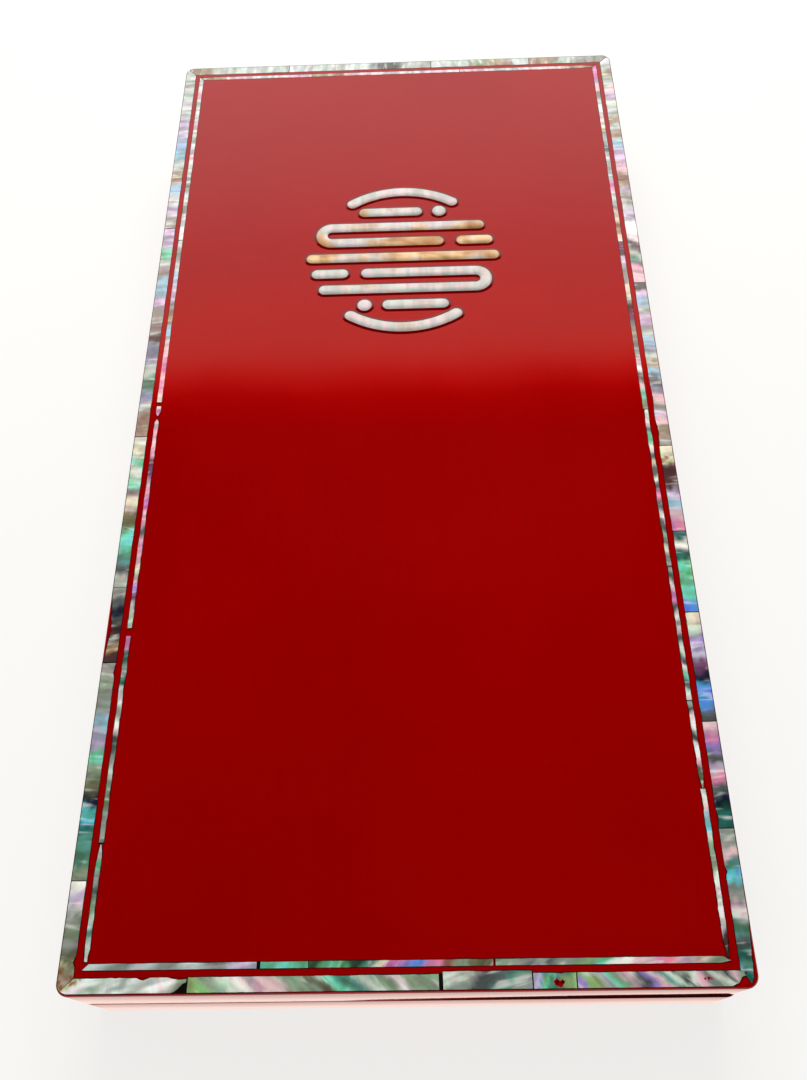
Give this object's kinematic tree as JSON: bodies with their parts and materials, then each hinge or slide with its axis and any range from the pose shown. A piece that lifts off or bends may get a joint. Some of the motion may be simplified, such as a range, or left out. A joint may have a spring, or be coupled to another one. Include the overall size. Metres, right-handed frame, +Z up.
{
  "type": "writing box",
  "caption": "Long red lacquered writing box with a lift-off lid, shell strip border, round shell crest and a fitted inkstone, dropper and brush trays.",
  "frame": {"origin": "centre of the box's underside, on the surface it stands on", "axes": "+Z up through the lid, +Y along the box to its back end, +X to the right seen from the front end"},
  "size_m": [0.15, 0.304, 0.0347],
  "materials": {
    "red_lacquer": "polished red lacquer over wood",
    "black_lacquer": "satin black lacquer over wood",
    "abalone_shell": "polished iridescent shell strips",
    "pearl_shell": "polished pale shell",
    "ink_stone": "honed slate",
    "dark_brass": "dark patina"
  },
  "bodies": {
    "base": {"base_floor": "black_lacquer", "base_wall_front": "red_lacquer", "base_wall_right": "red_lacquer", "base_wall_back": "red_lacquer", "base_wall_left": "red_lacquer", "lip_front": "black_lacquer", "lip_right": "black_lacquer", "lip_back": "black_lacquer", "lip_left": "black_lacquer"},
    "lid": {"lid_board": "red_lacquer", "lid_wall_front": "red_lacquer", "lid_wall_right": "red_lacquer", "lid_wall_back": "red_lacquer", "lid_wall_left": "red_lacquer", "band_front": "abalone_shell", "band_right": "abalone_shell", "band_back": "abalone_shell", "band_left": "abalone_shell", "line_front": "abalone_shell", "line_right": "abalone_shell", "line_back": "abalone_shell", "line_left": "abalone_shell", "crest_middle_bar": "pearl_shell", "crest_upper_hairpin": "pearl_shell", "crest_upper_short_bar": "pearl_shell", "crest_upper_cap_bar": "pearl_shell", "crest_upper_dot": "pearl_shell", "crest_upper_brow": "pearl_shell", "crest_lower_hairpin": "pearl_shell", "crest_lower_short_bar": "pearl_shell", "crest_lower_cap_bar": "pearl_shell", "crest_lower_dot": "pearl_shell", "crest_lower_brow": "pearl_shell"},
    "baseboard": {"baseboard_panel": "black_lacquer", "baseboard_mat": "black_lacquer"},
    "inkstone": {"inkstone": "ink_stone"},
    "water_dropper": {"water_dropper_shell": "dark_brass", "water_dropper_plate": "dark_brass"},
    "brush_tray_left": {"brush_tray_left_floor": "black_lacquer", "brush_tray_left_outer_side": "black_lacquer", "brush_tray_left_inner_side": "black_lacquer", "brush_tray_left_front_end": "black_lacquer", "brush_tray_left_back_end": "black_lacquer"},
    "brush_tray_right": {"brush_tray_right_floor": "black_lacquer", "brush_tray_right_outer_side": "black_lacquer", "brush_tray_right_inner_side": "black_lacquer", "brush_tray_right_front_end": "black_lacquer", "brush_tray_right_back_end": "black_lacquer"}
  },
  "joints": [
    {"name": "lid_lift", "type": "slide", "parent": "base", "child": "lid", "axis": [0, 0, 1], "range_m": [0, 0.12]},
    {"name": "baseboard_lift", "type": "slide", "parent": "base", "child": "baseboard", "axis": [0, 0, 1], "range_m": [0, 0.036]},
    {"name": "inkstone_lift", "type": "slide", "parent": "baseboard", "child": "inkstone", "axis": [0, 0, 1], "range_m": [0, 0.024]},
    {"name": "water_dropper_lift", "type": "slide", "parent": "baseboard", "child": "water_dropper", "axis": [0, 0, 1], "range_m": [0, 0.024]},
    {"name": "brush_tray_left_lift", "type": "slide", "parent": "base", "child": "brush_tray_left", "axis": [0, 0, 1], "range_m": [0, 0.06]},
    {"name": "brush_tray_right_lift", "type": "slide", "parent": "base", "child": "brush_tray_right", "axis": [0, 0, 1], "range_m": [0, 0.06]}
  ],
  "couplings": [
    {"joint": "baseboard_lift", "follows": "lid_lift", "ratio": 0.3},
    {"joint": "inkstone_lift", "follows": "lid_lift", "ratio": 0.2},
    {"joint": "water_dropper_lift", "follows": "lid_lift", "ratio": 0.2},
    {"joint": "brush_tray_left_lift", "follows": "lid_lift", "ratio": 0.5},
    {"joint": "brush_tray_right_lift", "follows": "lid_lift", "ratio": 0.5}
  ]
}
